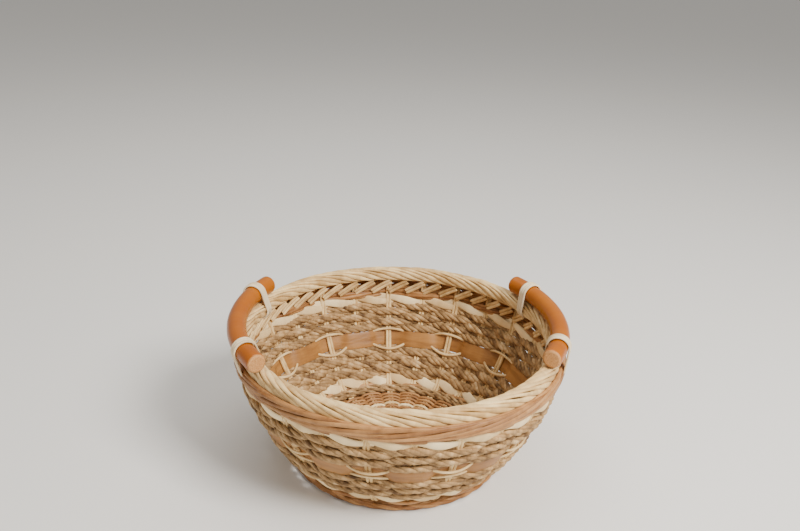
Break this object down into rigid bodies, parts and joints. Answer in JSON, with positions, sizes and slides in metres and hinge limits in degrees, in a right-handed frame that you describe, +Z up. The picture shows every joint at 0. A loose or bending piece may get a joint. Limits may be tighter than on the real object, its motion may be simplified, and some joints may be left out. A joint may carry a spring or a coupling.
{
  "type": "woven basket",
  "caption": "Round open woven basket with flared sides, a rolled border and bent pole handles lashed to the rim.",
  "frame": {"origin": "on the floor plane, on the axis of the round basket, which is the bottom centre of its box to within 2 mm, because the left pole is lashed on 4 mm further out than the right one", "axes": "+Z up out of the open mouth, +X through the middle of the right handle, -X through the left handle"},
  "size_m": [0.3232, 0.3168, 0.1542],
  "materials": {
    "peeled_reed": "matt",
    "husk_braid": "matt",
    "brown_rod": "satin",
    "seagrass_rope": "matt",
    "flat_cane": "satin",
    "reed_twine": "matt",
    "rattan_pole": "varnished",
    "reed_peel_loop": "satin"
  },
  "bodies": {
    "basket": {"base_rod_row": "brown_rod", "border": "peeled_reed", "cane_strip": "flat_cane", "centre_reeds_lower": "peeled_reed", "centre_reeds_upper": "peeled_reed", "floor_edge_row": "seagrass_rope", "floor_row_inner": "brown_rod", "floor_row_middle": "brown_rod", "floor_row_outer": "brown_rod", "foot_row": "brown_rod", "husk_band_lower": "husk_braid", "husk_band_upper": "husk_braid", "loop_left_a": "reed_peel_loop", "loop_left_b": "reed_peel_loop", "loop_right_a": "reed_peel_loop", "loop_right_b": "reed_peel_loop", "plait_row": "peeled_reed", "rod_row_1": "brown_rod", "rod_row_2": "brown_rod", "rod_row_3": "brown_rod", "rod_row_top": "brown_rod", "seagrass_lower_1": "seagrass_rope", "seagrass_lower_2": "seagrass_rope", "seagrass_lower_3": "seagrass_rope", "seagrass_lower_4": "seagrass_rope", "seagrass_lower_5": "seagrass_rope", "seagrass_upper_1": "seagrass_rope", "seagrass_upper_2": "seagrass_rope", "seagrass_upper_3": "seagrass_rope", "seagrass_upper_4": "seagrass_rope", "seagrass_upper_5": "seagrass_rope", "stake_01": "peeled_reed", "stake_02": "peeled_reed", "stake_03": "peeled_reed", "stake_04": "peeled_reed", "stake_05": "peeled_reed", "stake_06": "peeled_reed", "stake_07": "peeled_reed", "stake_08": "peeled_reed", "stake_09": "peeled_reed", "stake_10": "peeled_reed", "stake_11": "peeled_reed", "stake_12": "peeled_reed", "stake_13": "peeled_reed", "stake_14": "peeled_reed", "stake_15": "peeled_reed", "stake_16": "peeled_reed", "stake_17": "peeled_reed", "stake_18": "peeled_reed", "stake_19": "peeled_reed", "stake_20": "peeled_reed", "stake_21": "peeled_reed", "stake_22": "peeled_reed", "stake_23": "peeled_reed", "stake_24": "peeled_reed", "twine_lower": "reed_twine", "twine_upper": "reed_twine"},
    "left_handle": {"handle_left": "rattan_pole"},
    "right_handle": {"handle_right": "rattan_pole"}
  },
  "joints": [
    {"name": "left_handle_creep", "type": "hinge", "parent": "basket", "child": "left_handle", "pos_m": [0, 0, 0.141], "axis": [0, 0, 1], "range_deg": [-6, 6]},
    {"name": "right_handle_creep", "type": "hinge", "parent": "basket", "child": "right_handle", "pos_m": [0, 0, 0.1422], "axis": [0, 0, 1], "range_deg": [-6, 6]}
  ]
}
